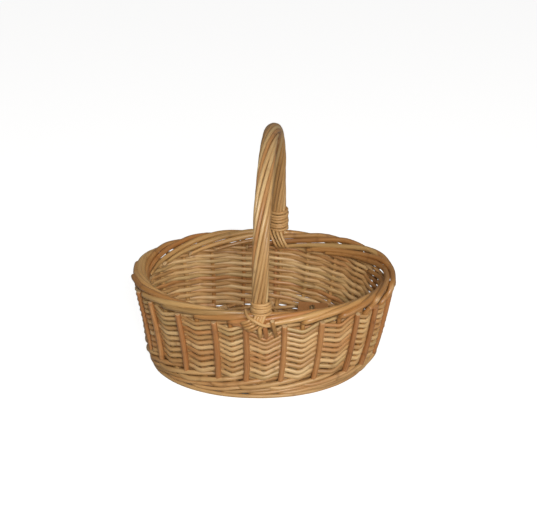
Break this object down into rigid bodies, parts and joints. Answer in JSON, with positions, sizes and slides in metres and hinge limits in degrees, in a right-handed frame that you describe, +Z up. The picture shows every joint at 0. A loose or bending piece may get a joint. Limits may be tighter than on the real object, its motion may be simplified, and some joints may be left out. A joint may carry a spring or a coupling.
{
  "type": "egg collection basket",
  "caption": "Oval woven willow basket with flared ribbed sides, rolled border, fixed rope-wrapped bow handle across the middle and a plain card tag inside, for gathering eggs.",
  "frame": {"origin": "centre of the oval on the plane the basket stands on", "axes": "+Z up, +X along the long side of the oval, +Y from the front foot of the handle to the back foot; the handle lies in a plane parallel to Y and Z"},
  "size_m": [0.3593, 0.2864, 0.3341],
  "materials": {
    "willow_sticks": "semi-matte peeled willow, lengthwise grain and small knots",
    "willow_foot": "satin peeled willow, lengthwise grain",
    "willow_stakes": "satin buff willow, kinked where bent, lengthwise grain",
    "willow_ribs": "satin orange-brown buff willow, lengthwise grain, pale cut ends",
    "willow_weavers": "satin pale buff willow, each rod a slightly different tone",
    "willow_handle": "satin buff willow, polished by handling along the top",
    "willow_binding": "satin thin willow skein",
    "kraft_card": "matte brown kraft card, fibrous",
    "eyelet_brass": "dull stamped eyelet",
    "twine": "matte twisted natural twine"
  },
  "bodies": {
    "root": {"base_long_sticks": "willow_sticks", "base_cross_sticks": "willow_sticks", "base_weaver_1": "willow_weavers", "base_weaver_2": "willow_weavers", "foot_ring": "willow_foot", "foot_wale_1": "willow_foot", "foot_wale_2": "willow_foot", "foot_wale_3": "willow_foot", "upsett_wale_1": "willow_foot", "upsett_wale_2": "willow_foot", "upsett_wale_3": "willow_foot", "stakes_front": "willow_stakes", "stakes_right": "willow_stakes", "stakes_back": "willow_stakes", "stakes_left": "willow_stakes", "ribs_front": "willow_ribs", "ribs_right": "willow_ribs", "ribs_back": "willow_ribs", "ribs_left": "willow_ribs", "weaver_01": "willow_weavers", "weaver_02": "willow_weavers", "weaver_03": "willow_weavers", "weaver_04": "willow_weavers", "weaver_05": "willow_weavers", "weaver_06": "willow_weavers", "weaver_07": "willow_weavers", "weaver_08": "willow_weavers", "weaver_09": "willow_weavers", "weaver_10": "willow_weavers", "weaver_11": "willow_weavers", "weaver_12": "willow_weavers", "weaver_13": "willow_weavers", "weaver_14": "willow_weavers", "weaver_15": "willow_weavers", "weaver_16": "willow_weavers", "weaver_17": "willow_weavers", "weaver_18": "willow_weavers", "weaver_19": "willow_weavers", "weaver_20": "willow_weavers", "weaver_21": "willow_weavers", "weaver_22": "willow_weavers", "handle_core": "willow_sticks", "handle_rod_01": "willow_handle", "handle_rod_02": "willow_handle", "handle_rod_03": "willow_handle", "handle_rod_04": "willow_handle", "handle_rod_05": "willow_handle", "handle_rod_06": "willow_handle", "handle_rod_07": "willow_handle", "handle_rod_08": "willow_handle", "handle_rod_09": "willow_handle", "handle_rod_10": "willow_handle", "lash_front": "willow_binding", "lash_back": "willow_binding", "tie_front": "willow_binding", "tie_back": "willow_binding", "tag_card": "kraft_card", "tag_eyelet": "eyelet_brass", "tag_twine": "twine"}
  },
  "joints": []
}
